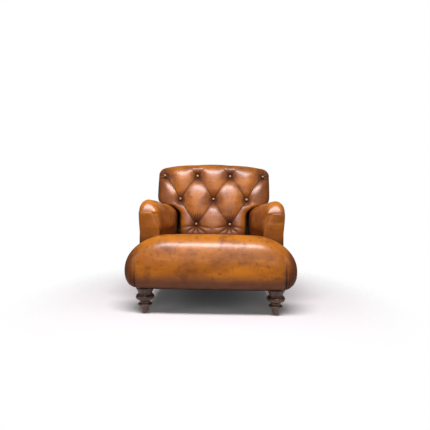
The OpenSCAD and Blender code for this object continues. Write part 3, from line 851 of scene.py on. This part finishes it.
@dataclass
class Arm:
    """One arm: the leather over its roll and inner side, its front panel and its outside."""

    side: Side
    hide: bpy.types.Material
    padding: Padding
    lip: float = 0.079
    nose: float = 0.026
    swell: float = 0.014
    low: float = 0.300
    panel_low: float = LINES.rail_low + 0.004
    tuck: float = 0.550
    inner_round: float = 0.075
    outer_round: float = 0.058
    rise: float = 0.028
    voxel: float = 0.0042

    def section(self, y: float, inset: float, rear: float | None = None) -> Array:
        """The arm's outline at a depth.

        Args:
            y: the depth.
            inset: how far it is drawn in all round.
            rear: share of the way to the outside back, for the arm's last stretch.
        Returns:
            A ring of points.
        """
        top, ridge = LINES.arm_top(y) - inset, LINES.arm_ridge(y)
        inner, outer = LINES.arm_inner(y) + inset, LINES.arm_outer - inset
        up = np.radians(np.linspace(180, 90, 20))
        over = np.radians(np.linspace(86, -8, 20))
        base, r_in, r_out = self.low + inset, self.inner_round, self.outer_round
        x = np.concatenate([
            np.full(15, inner), ridge + (ridge - inner) * np.cos(up), ridge + (outer - ridge) * np.cos(over),
            [outer - 0.012], np.full(10, outer - 0.0135), np.linspace(outer - 0.014, inner, 9)[1:-1],
        ])
        z = np.concatenate([
            np.linspace(base, top - r_in, 16)[:-1], top - r_in + r_in * np.sin(up),
            top - r_out + r_out * np.sin(over), [top - self.lip - 0.003],
            np.linspace(top - self.lip - 0.02, base, 10), np.full(7, base),
        ])
        depth = np.full_like(x, y)
        if rear is not None:
            depth = y + rear * (LINES.upright_rear(z) - 0.004 - y)
            z = z + self.rise * ease((rear - 0.3) / 0.5) * ease((z - top + 0.07) / 0.05)
        return np.stack([x * self.side.value, depth, z], 1)

    def roll(self) -> bpy.types.Object:
        """The leather over the roll and down the inner side, rounded over at the front."""
        front, rings = LINES.arm_front + 0.002, []
        for turn in np.radians((8, 20, 32, 44, 56, 68, 80)):
            behind, inset = self.nose * (1 - math.cos(turn)), self.nose * (1 - math.sin(turn))
            rings.append(self.section(front + behind, inset))
        start, bend = front + self.nose, 0.30
        rings += [self.section(y, 0) for y in np.linspace(start, bend, 40)]
        rings += [self.section(bend, 0, t) for t in (0.2, 0.4, 0.6, 0.8, 1.0)]
        s = self.side.value
        ends = (s * 0.352, front - 0.001, 0.46), (s * 0.34, 0.385, 0.45)
        return new_ball(f"{self.side.word}_arm_leather", rings, *ends)

    def tint(self, obj: bpy.types.Object, across: Array, y: Array, z: Array, ahead: Array) -> None:
        """Marks the arm's painted shade, and its lighter top, partly from wear and partly from painted
        highlight.

        Args:
            obj: the leather.
            across: each point's distance from the middle.
            y: its depth.
            z: its height.
            ahead: how much it belongs to the arm's front.
        """
        # Painted shade where the arm meets the back and the seat, under the tuck and the lip, on its inner
        # side and low down.
        meets_back = above(y, 0.19, 0.12) * below(across, 0.36, 0.03)
        beside_seat = below(z, 0.44, 0.05) * below(across, 0.33, 0.02) * (1 - ahead)
        tuck_line = ahead * np.exp(-np.abs(z - self.tuck) / 0.004) * above(across, 0.335, 0.02)
        from_lip = np.abs(z - (LINES.arm_top(y) - self.lip))
        lip_line = np.exp(-from_lip / 0.008) * above(across, 0.38, 0.01)
        inside = below(across, 0.34, 0.03) * (1 - ahead) * below(z, 0.58, 0.05)
        dark = meets_back * 0.7, beside_seat * 0.5, tuck_line * 0.4, lip_line * 0.9
        mark(obj, "crease", np.maximum.reduce(dark))
        mark(obj, "crest", above(z, 0.56, 0.05) * 0.5)
        mark(obj, "shade", below(z, 0.50, 0.1) * 0.8 + meets_back * 0.5 + inside * 0.25)

    def build_roll(self) -> bpy.types.Object:
        """Models the arm's leather, with the cap drawn forward over its front panel."""
        obj = even_skin(self.roll(), self.voxel, 6)
        at, out = points(obj), normals(obj)
        x, y, z = at.T
        across = np.abs(x)
        ahead = below(y, LINES.arm_front + 0.05, 0.05)
        up = np.clip((z - self.tuck) / self.inner_round, 0, 1)
        y += below(y, LINES.arm_front + 0.075, 0.075) * (0.042 * up**1.25 - 0.004 * ease(up / 0.05))
        swell = self.swell * above(z, 0.425, 0.04) * below(z, 0.57, 0.10)
        x -= self.side.value * swell * below(across, 0.345, 0.03) * below(y, 0.16, 0.2)
        wander = 0.0022 * np.sin(y * 21 + 1.3 * self.side.value) * above(y, -0.2, 0.2)
        at += out * wander[:, None]
        move_points(obj, at)
        self.tint(obj, across, y, z, ahead)
        word = self.side.word
        finish(obj, self.hide, "leather", ROOT, f"{word}_arm_cover")
        self.padding.fill(obj, f"{word}_arm_pad", "fibre", ROOT)
        return obj

    def build_front_panel(self) -> bpy.types.Object:
        """Models the padded panel below the cap on the arm's front."""
        obj = new_grid(f"{self.side.word}_front_panel", 60, 120)
        at = points(obj)
        high, low = self.tuck + 0.006, self.panel_low
        z = low + (high - low) * (at[:, 1] + 1) / 2
        t = np.clip((z - (high - 0.14)) / 0.14, 0, 1)
        inner = LINES.inner_front - 0.010 * below(z, 0.52, 0.06) + 0.044 * (1 - np.sqrt(1 - t**2 * 0.96))
        outer = LINES.arm_outer - 0.0115 + 0.009 * above(z, 0.38, 0.16)
        x = inner + (outer - inner) * (at[:, 0] + 1) / 2
        puff = pillow(at[:, 0], 3) * pillow(at[:, 1], 20)
        y = LINES.arm_front + 0.014 - 0.0165 * puff
        sag = 0.0012 * np.sin(z * 55 + x * 30) * puff
        move_points(obj, np.stack([x * self.side.value, y + sag, z], 1))
        # Painted shade along the panel's tucked edges and on its lower part.
        edge = np.maximum(np.abs(at[:, 0]) ** 16, np.maximum(0, at[:, 1]) ** 60)
        mark(obj, "crease", edge * 0.6)
        mark(obj, "shade", below(z, 0.47, 0.1))
        thicken(obj, 0.004)
        return finish(obj, self.hide, "leather", ROOT, f"{self.side.word}_arm_facing")

    def build_outside(self) -> bpy.types.Object:
        """Models the plain leather on the arm's outside, pulled tight over the rails."""
        obj = new_grid(f"{self.side.word}_outside_leather", 130, 80)
        at = points(obj)
        t, v = (at[:, 0] + 1) / 2, (at[:, 1] + 1) / 2
        front = LINES.arm_front + 0.010
        near_y = front + (LINES.upright_rear(LINES.rail_low + 0.38 * v) - 0.001 - front) * t
        high = LINES.arm_top(near_y) - self.lip + 0.002
        z = LINES.rail_low + (high - LINES.rail_low) * v
        y = front + (LINES.upright_rear(z) - 0.001 - front) * t
        puff = pillow(at[:, 0], 6) * pillow(at[:, 1], 6)
        lean = LINES.arm_outer - 0.0155 + 0.005 * v
        ripple = 0.0016 * np.sin(t * 9 + v * 4) * puff + 0.0012 * np.sin(v * 14 - t * 5) * puff
        x = lean + 0.0065 * puff + ripple
        move_points(obj, np.stack([x * self.side.value, y, z], 1))
        # Painted shade along the panel's edges, where it meets its neighbours.
        edge = np.maximum(np.maximum(0, at[:, 1]) ** 40, np.abs(at[:, 0]) ** 60)
        mark(obj, "crease", edge * 0.8)
        thicken(obj, 0.003)
        return finish(obj, self.hide, "leather", ROOT, f"{self.side.word}_outside_arm")

    def build(self) -> None:
        """Builds the arm's three pieces."""
        self.build_roll()
        self.build_front_panel()
        self.build_outside()


# ---------------------------------------------------------------- back


@dataclass
class Back:
    """The deep-buttoned back, its buttons and its plain outside."""

    hide: bpy.types.Material
    stud: bpy.types.Material
    padding: Padding
    half_width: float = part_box("back_cover")[1].x
    low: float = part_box("back_cover")[0].z - 0.026
    high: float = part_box("back_cover")[1].z
    neck: float = 0.242
    shoulder: tuple[float, float] = (0.490, 0.603)
    wrap: tuple[float, float] = (0.588, 0.606)
    corner: float = 0.048
    turn_in: float = 0.026
    arch: float = 0.032
    loins: float = 0.202
    crown: float = 0.127
    button_gap: float = 0.234
    button_rows: tuple[tuple[float, tuple[float, ...]], ...] = (
        (0.796, (-1.5, -0.5, 0.5, 1.5)),
        (0.631, (-1.0, 0.0, 1.0)),
        (0.457, (-0.5, 0.5)),
    )
    pull: float = 0.033
    seat_rear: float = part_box("seat_cover")[1].y
    tail_drop: float = 0.064
    pit: float = 0.026
    # Reach in metres of the painted shade round the buttons.
    button_shade_reach: float = 0.056
    across: int = 300
    up: int = 240
    places: dict[tuple[int, int], tuple[float, float]] = field(default_factory=dict)

    def __post_init__(self) -> None:
        """Works out the buttons' places, by half gaps across and by row."""
        for row, (z, columns) in enumerate(self.button_rows):
            for column in columns:
                self.places[(round(column * 2), row)] = (column * self.button_gap, z)

    def half_at(self, z: Array) -> Array:
        """Half the back's width at a height."""
        t = np.clip((z - self.shoulder[0]) / (self.shoulder[1] - self.shoulder[0]), 0, 1)
        c = np.clip(1 - (self.high - z) / self.corner, 0, 0.97)
        d = np.clip(1 - (z - self.shoulder[1] + 0.004) / 0.055, 0, 1) * (t > 0.96)
        under = self.turn_in * (1 - np.sqrt(1 - 0.95 * d * d))
        rounded = self.corner * (1 - np.sqrt(1 - c * c))
        return self.neck + (self.half_width - self.neck) * t**3 - rounded - under

    def edge_at(self, z: Array) -> Array:
        """Depth of the cover's edge at a height."""
        t = ease((z - self.wrap[0]) / (self.wrap[1] - self.wrap[0]))
        front = LINES.upright_front(z)
        return front - 0.006 + t * (LINES.upright_rear(z) - front - 0.001)

    def face_at(self, z: Array | float) -> Array | float:
        """Depth of the back's face at a height."""
        share = (z - self.low) / (self.high - self.low)
        return LINES.upright_front(z) - (self.loins + (self.crown - self.loins) * share)

    def skin(self, s: Array, t: Array) -> Array:
        """The back's smooth form before buttoning.

        Args:
            s: places across, from -1 to 1.
            t: places up, from -1 to 1.
        Returns:
            Points.
        """
        wide, tall = np.sin(np.pi / 2 * s), np.sin(np.pi / 2 * t)
        flat = (self.low + self.high) / 2 + (self.high - self.low) / 2 * tall
        x = wide * self.half_at(flat)
        z = flat - self.arch * (x / self.half_width) ** 2 * ease((flat - 0.7) / 0.15)
        edge = self.edge_at(flat)
        y = edge - (edge - self.face_at(z)) * pillow(wide, 6) * pillow(tall, np.where(tall < 0, 14.0, 7.0))
        return np.stack([x, y, z], -1)

    def folds(self) -> list[Fold]:
        """Every crease between the buttons, and the gathers round them."""
        at, lines = self.places, []
        for (column, row), place in at.items():
            for step in (-1, 1):
                if (column + step, row + 1) in at:
                    bow = 0.006 * step if row == 0 else -0.005 * step
                    end = at[(column + step, row + 1)]
                    lines.append(Fold(place, end, 0.026, 0.026, 0.018, 0.010, bow=bow))
        for column in (-1, 1):
            x, z = at[(column, 0)]
            lines.append(Fold((x, z), (x * 1.02, self.high + 0.03), 0.012, 0.005, 0.008, 0.003))
            for lean in (-0.55, -0.2, 0.22, 0.55):
                lines.append(Fold((x, z), (x + lean * 0.08, z + 0.066), 0.026, 0.002, 0.005, dark=0.005))
            lines.append(Fold((x - 0.012, self.high + 0.02), (x - 0.006, z + 0.055), 0.009, 0.0, 0.008))
            low_button = at[(column, 2)]
            x, z = low_button
            for turn in (-76, -50, -20, 14, 46, 74):
                reach = 0.075 + 0.03 * abs(math.sin(math.radians(turn)))
                lines.append(Fold(low_button, aimed(low_button, 180 - turn, reach), 0.022, 0.004, 0.0065))
            for lean in (-0.5, -0.28, -0.08, 0.12, 0.33, 0.52):
                lines.append(Fold(low_button, (x + lean * 0.11, z + 0.105), 0.020, 0.003, 0.0035))
            corner = at[(column * 3, 0)]
            for turn in (18, 48, 80, 112):
                end = aimed(corner, column * turn, 0.062)
                lines.append(Fold(corner, end, 0.024, 0.003, 0.006, dark=0.006))
            x, z = at[(column * 2, 1)]
            lines.append(Fold((x, z), (x + column * 0.055, z - 0.075), 0.014, 0.004, 0.012))
            lines.append(Fold((x, z), (x + column * 0.02, z - 0.09), 0.010, 0.0, 0.008))
        x, z = at[(0, 1)]
        for lean in (-0.22, 0.2):
            lines.append(Fold((x, z), (x + lean * 0.09, z - 0.06), 0.007, 0.0, 0.005))
        return lines

    def drawn_in(self, flat: Array, at: Array, out: Array) -> tuple[Array, Array, Array, Array]:
        """How the buttons and folds draw the skin in.

        Args:
            flat: the grid's places, from -1 to 1.
            at: the skin's points.
            out: their outward normals.
        Returns:
            For each point its depth in metres, how much painted shade it gets from the creases, how
            much it faces the front or the top, and its distance from the nearest button.
        """
        x, y, z = at.T
        depth, crease = np.zeros(len(at)), np.zeros(len(at))
        for fold in self.folds():
            sunk, in_it = fold.depth(x, z)
            depth += sunk**3
            crease = np.maximum(crease, in_it)
        depth **= 1 / 3
        near, pit, most = np.full(len(at), 9.0), np.zeros(len(at)), np.full(len(at), self.pull)
        for button_x, button_z in self.places.values():
            away = np.hypot(x - button_x, z - button_z) + 9 * (out[:, 1] > 0)
            reach = self.face_at(button_z) + self.pull - y[np.argmin(away)]
            near = np.minimum(near, away)
            pit = np.maximum(pit, reach * np.exp(-((away / self.pit) ** 1.7)))
            most -= (self.pull - reach) * np.exp(-((away / 0.04) ** 2))
        depth = np.minimum(np.maximum(depth, pit) + 0.35 * np.minimum(depth, pit), most)
        shown = np.maximum(above(-out[:, 1], -0.10, 0.4), 0.8 * ease(out[:, 2] / 0.5))
        edges = ease((1 - np.abs(flat[:, 0])) / 0.09) * ease((1 - np.abs(flat[:, 1])) / 0.05)
        return depth * (shown * edges), crease * shown, shown, near

    def tint(
        self, obj: bpy.types.Object, at: Array, depth: Array, crease: Array, shown: Array, near: Array
    ) -> None:
        """Marks the back's painted shade, and its lighter puffs, partly from wear and partly from painted
        highlight.

        Args:
            obj: the leather.
            at: the skin's points before buttoning.
            depth: how far each is drawn in.
            crease: how much painted shade each gets from the creases.
            shown: how much each faces the front or the top.
            near: the distance of each from the nearest button.
        """
        x, z = np.abs(at[:, 0]), at[:, 2]
        # Painted shade in the creases, at the low sides, by the seat, in the button dimples, round the
        # buttons, on the outer panels, in the hollows and low down; the tops of the puffs are lighter, partly
        # from wear and partly from painted highlight.
        low_side = below(z, 0.62, 0.05) * above(x, self.half_at(z) - 0.028, 0.02)
        near_seat = below(z, self.low + 0.03, 0.03)
        pit_shade = np.exp(-((near / self.pit) ** 2)) * 0.9
        beyond = x - 0.245 - 0.709 * np.maximum(0, z - 0.631)
        outer = 0.8 * ease(beyond / 0.05) * below(z, 0.80, 0.06) * above(z, 0.57, 0.05)
        valleys = 0.55 * above(depth, 0.009, 0.010)
        near_rows = np.exp(-((near / self.button_shade_reach) ** 2)) * 0.95
        mark(obj, "crease", np.maximum.reduce([crease * 0.95, low_side * 0.85, near_seat * 0.5, pit_shade]))
        mark(obj, "crest", 0.25 * ease(1 - depth / 0.008) * shown)
        mark(obj, "shade", np.maximum.reduce([near_rows, outer, valleys, 0.7 * below(z, 0.5, 0.1)]))

    def build_cover(self) -> bpy.types.Object:
        """Models the buttoned leather."""
        obj = new_grid("back_leather", self.across, self.up)
        flat = points(obj)
        at = self.skin(flat[:, 0], flat[:, 1])
        move_points(obj, at)
        out = normals(obj)
        if out[np.argmin(at[:, 1]), 1] > 0:
            out = -out
        depth, crease, shown, near = self.drawn_in(flat, at, out)
        move_points(obj, at - out * depth[:, None])
        self.tint(obj, at, depth, crease, shown, near)
        face_outwards(obj)
        if normals(obj)[np.argmin(at[:, 1]), 1] > 0:
            only(obj)
            bpy.ops.object.mode_set(mode="EDIT")
            bpy.ops.mesh.flip_normals()
            bpy.ops.object.mode_set(mode="OBJECT")
        self.padding.fill(obj, "back_pad", "fibre", ROOT)
        join(obj, self.tail())
        apply(obj, "SOLIDIFY", thickness=0.003, offset=-1.0)
        face_outwards(obj)
        finish(obj, self.hide, "leather", ROOT, "back_cover")
        return obj

    def tail(self) -> bpy.types.Object:
        """The cover's lower end, pulled down behind the seat to the back rail."""
        obj = new_grid("back_tail", 80, 20)
        flat = points(obj)
        low, high = self.low - self.tail_drop, self.low + 0.004
        z = low + (high - low) * (flat[:, 1] + 1) / 2
        y = self.seat_rear + 0.003 + 0.012 * ease((flat[:, 1] - 0.2) / 0.8)
        move_points(obj, np.stack([flat[:, 0] * self.neck, y, z], 1))
        # Painted shade over the whole tail, which lies in the gap behind the seat.
        mark(obj, "crease", np.full(len(flat), 0.4))
        mark(obj, "shade", np.full(len(flat), 1.0))
        return obj

    def build_buttons(self) -> bpy.types.Object:
        """Models one covered button, domed and gathered at its rim, and copies it to every place."""
        clear_selection()
        bpy.ops.mesh.primitive_uv_sphere_add(segments=32, ring_count=20, radius=0.0092)
        first = bpy.context.active_object
        at = points(first)
        round_rim = 1 - 0.03 * np.abs(np.sin(4 * np.arctan2(at[:, 1], at[:, 0])))
        at[:, :2] *= round_rim[:, None]
        at[:, 2] *= np.where(at[:, 2] > 0, 0.55, 0.3)
        at = at[:, [0, 2, 1]] * np.array([1, -1, 1])
        move_points(first, at)
        # The button's front half is lighter, partly from wear and partly from painted highlight.
        mark(first, "crest", (at[:, 1] < -0.003) * 1.0)
        copies = []
        for x, z in self.places.values():
            copy = bpy.data.objects.new("button", first.data.copy())
            bpy.context.scene.collection.objects.link(copy)
            move_points(copy, at + np.array([x, self.face_at(z) + self.pull - 0.0065, z]))
            copies.append(copy)
        bpy.data.objects.remove(first)
        obj = join(*copies)
        obj.name = obj.data.name = "covered_buttons"
        face_outwards(obj)
        return finish(obj, self.stud, "leather", ROOT, "back_buttons")

    def build_outside(self) -> bpy.types.Object:
        """Models the plain outside back, lightly padded inside its piping."""
        obj = new_grid("outside_back_leather", 150, 130)
        at = points(obj)
        v = (at[:, 1] + 1) / 2
        low, high = LINES.rail_low, self.high - 0.012
        z_flat = low + (high - low) * v
        c = np.clip(1 - (high - z_flat) / 0.044, 0, 0.97)
        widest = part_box("outside_back")[1].x
        half = widest - 0.008 * (1 - ease((z_flat - 0.15) / 0.49)) - 0.044 * (1 - np.sqrt(1 - c * c))
        x = at[:, 0] * half
        z = z_flat - self.arch * (x / widest) ** 2 * ease((z_flat - 0.6) / 0.2)
        puff = pillow(at[:, 0], 8) * pillow(at[:, 1], 8)
        ripple = 0.0008 * np.sin(x * 16 + z * 7) + 0.0006 * np.sin(z * 24 - x * 9)
        y = LINES.upright_rear(z) + 0.0005 + (0.0035 + ripple) * puff
        y = np.minimum(y, LINES.upright_rear(z) + 0.005)
        move_points(obj, np.stack([x, y, z], 1))
        # Painted shade along the panel's edges, inside the piping.
        edge = np.maximum(np.abs(at[:, 0]) ** 60, np.abs(at[:, 1]) ** 60)
        mark(obj, "crease", edge * 0.8)
        thicken(obj, 0.002)
        return finish(obj, self.hide, "leather", ROOT, "outside_back")

    def build(self) -> None:
        """Builds the back's pieces."""
        self.build_cover()
        self.build_buttons()
        self.build_outside()


# ---------------------------------------------------------------- legs


@dataclass
class FrontLegs:
    """The pair of turned front legs."""

    wood: bpy.types.Material
    sharp_turn: float = math.radians(28)

    def build(self) -> None:
        """Gives each turned leg a smooth-shaded copy of its node, polished."""
        for side in Side:
            node = frame["nodes"][f"{side.word}_front_leg"]
            obj = copy_node(node, f"{side.word}_turned_leg")
            only(obj)
            bpy.ops.object.shade_smooth_by_angle(angle=self.sharp_turn)
            obj.data.materials.clear()
            obj.data.materials.append(self.wood)
            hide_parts(node.name)
            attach(obj, ROOT)
            LOG.info("%s: %d faces", obj.name, len(obj.data.polygons))


# ---------------------------------------------------------------- springing


@dataclass
class Springing:
    """The coil springs, edge springs and twine, which shorten as the seat goes down; these copies keep their
    shape.
    """

    steel: bpy.types.Material
    twine: bpy.types.Material
    travel: float = 0.040

    def build(self) -> None:
        """Copies each node to a piece with a mesh of its own, dressed and fixed to the frame."""
        for name, made, slot, material in (
            ("seat_springs", "coil_springs", "steel", self.steel),
            ("front_edge_springs", "edge_coil_springs", "steel", self.steel),
            ("spring_lashing", "lashing_twine", "twine", self.twine),
        ):
            obj = copy_node(frame["nodes"][name], made)
            finish(obj, material, slot, ROOT, name)
            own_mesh(obj)


# ---------------------------------------------------------------- hidden work


@dataclass
class Carcass:
    """The frame, fastenings, webbing and stuffing that keep their CAD shapes."""

    finishes: dict[str, bpy.types.Material]

    def dress(self) -> None:
        """Gives every node that still shows the finish of its slot."""
        for row in frame["record"]["subparts"]:
            node = frame["nodes"][row["node"]]
            node.data.materials.clear()
            node.data.materials.append(self.finishes[row["material_slot"]])


# ---------------------------------------------------------------- studio


@dataclass
class Studio:
    """A pale floor, soft lights and the camera."""

    focal: float = 28.72
    stand: Point = (0.0398, -2.1884, 0.6284)
    turn: float = 0.0112
    pitch: float = 0.0451
    roll: float = 0.0141
    aim: Point = (0, 0, 0.45)
    fade: tuple[float, float] = (0.5, 1.25)
    warm: Colour = (1, 0.97, 0.95)

    def floor(self) -> None:
        """Lays a wide pale floor under the chair."""
        clear_selection()
        bpy.ops.mesh.primitive_plane_add(size=40, location=(0, 0, -0.0005))
        obj = bpy.context.active_object
        obj.name = obj.data.name = "floor"
        p = Paint("pale_floor")
        tone = p.mix(p.noise(0.6, 2), (0.80, 0.80, 0.80), (0.83, 0.83, 0.83))
        length = p.node("ShaderNodeVectorMath", {"operation": "LENGTH"}, {0: p.place})
        fade = Value(p, length.outputs["Value"]).stretch(*self.fade, 1, 0)
        p.done(Base_Color=tone, Roughness=0.9, Specular_IOR_Level=0.1, Alpha=fade)
        obj.data.materials.append(p.material)

    def lamp(self, name: str, place: Point, size: tuple[float, float], watts: float, tint: Colour) -> None:
        """A soft rectangular lamp aimed at the seat."""
        data = bpy.data.lights.new(name, "AREA")
        data.shape, data.size, data.size_y = "RECTANGLE", *size
        data.energy, data.color = watts, tint
        lamp = bpy.data.objects.new(name, data)
        bpy.context.scene.collection.objects.link(lamp)
        lamp.location = place
        lamp.rotation_euler = (Vector(self.aim) - Vector(place)).to_track_quat("-Z", "Y").to_euler()

    def air(self) -> None:
        """Lights the room softly, with a white backdrop."""
        world = bpy.data.worlds.new("studio")
        bpy.context.scene.world = world
        world.use_nodes = True
        tree = world.node_tree
        tree.nodes.clear()
        path = tree.nodes.new("ShaderNodeLightPath")
        seen, lit = tree.nodes.new("ShaderNodeBackground"), tree.nodes.new("ShaderNodeBackground")
        seen.inputs[0].default_value, seen.inputs[1].default_value = (1, 1, 1, 1), 1.0
        lit.inputs[0].default_value, lit.inputs[1].default_value = (0.97, 0.97, 1, 1), 0.14
        choose, out = tree.nodes.new("ShaderNodeMixShader"), tree.nodes.new("ShaderNodeOutputWorld")
        tree.links.new(path.outputs["Is Camera Ray"], choose.inputs[0])
        tree.links.new(lit.outputs[0], choose.inputs[1])
        tree.links.new(seen.outputs[0], choose.inputs[2])
        tree.links.new(choose.outputs[0], out.inputs["Surface"])

    def camera(self) -> None:
        """Stands the camera in front of the chair, a little to its right."""
        data = bpy.data.cameras.new("camera")
        data.lens, data.sensor_width = self.focal, 36
        camera = bpy.data.objects.new("camera", data)
        bpy.context.scene.collection.objects.link(camera)
        camera.matrix_world = (
            Matrix.Translation(self.stand)
            @ Matrix.Rotation(self.turn, 4, "Z")
            @ Matrix.Rotation(math.pi / 2 - self.pitch, 4, "X")
            @ Matrix.Rotation(self.roll, 4, "Z")
        )
        bpy.context.scene.camera = camera

    def build(self) -> None:
        """Sets the studio up."""
        bpy.context.scene.view_settings.view_transform = "Standard"
        self.floor()
        self.air()
        self.camera()
        self.lamp("key", (-0.1, -1.8, 3.0), (2.4, 0.5), 132, (1.0, 0.92, 0.96))
        self.lamp("left", (-3.2, -1.6, 1.5), (1.0, 2.0), 13, self.warm)
        self.lamp("right", (3.2, -1.6, 1.5), (1.0, 2.0), 13, self.warm)
        self.lamp("front", (0.2, -4.4, 2.4), (4.0, 2.4), 40, self.warm)
        LOG.info("studio: floor, air, camera and 4 lamps")


# ---------------------------------------------------------------- assembly


def main() -> None:
    """Builds the chair over its frame, then the studio."""
    logging.basicConfig(level=logging.INFO, format="%(name)s %(message)s")
    hide = Hide().make()
    stained = Timber("stained_wood", (0.014, 0.006, 0.003), (0.11, 0.045, 0.018), 0.34, coat=0.2).make()
    steel = Steel().make()
    twine = Cloth("twine", (0.5, 0.36, 0.2), (0.25, 0.16, 0.08), 0.0015).make()
    finishes = {
        "beech": Timber("beech", (0.36, 0.22, 0.11), (0.58, 0.40, 0.23), 0.55, (50, 50, 50)).make(),
        "stained_wood": stained,
        "steel": steel,
        "webbing": Cloth("webbing", (0.42, 0.29, 0.15), (0.2, 0.13, 0.06), 0.004).make(),
        "hessian": Cloth("hessian", (0.5, 0.36, 0.2), (0.22, 0.15, 0.08), 0.003).make(),
        "fibre": Stuffing("coir_fibre", (0.28, 0.16, 0.08), (0.1, 0.05, 0.02), 160).make(),
        "foam": Stuffing("foam", (0.8, 0.72, 0.5), (0.6, 0.5, 0.3), 90).make(),
        "leather": hide,
        "twine": twine,
        "dust_cloth": Cloth("dust_cloth", (0.03, 0.03, 0.03), (0.008, 0.008, 0.008), 0.0015).make(),
    }
    Carcass(finishes).dress()
    padding = Padding(finishes)
    Seat(hide, padding).build()
    for side in Side:
        Arm(side, hide, padding).build()
    # Glossier leather for the buttons; its lighter colour on their fronts is partly wear and partly painted
    # highlight.
    stud = Hide("burnished_hide", rubbed_and_highlight=(0.6, 0.3, 0.12), gloss=0.15, coat=0.9).make()
    Back(hide, stud, padding).build()
    FrontLegs(stained).build()
    Springing(steel, twine).build()
    Studio().build()


if __name__ == "__main__":
    main()
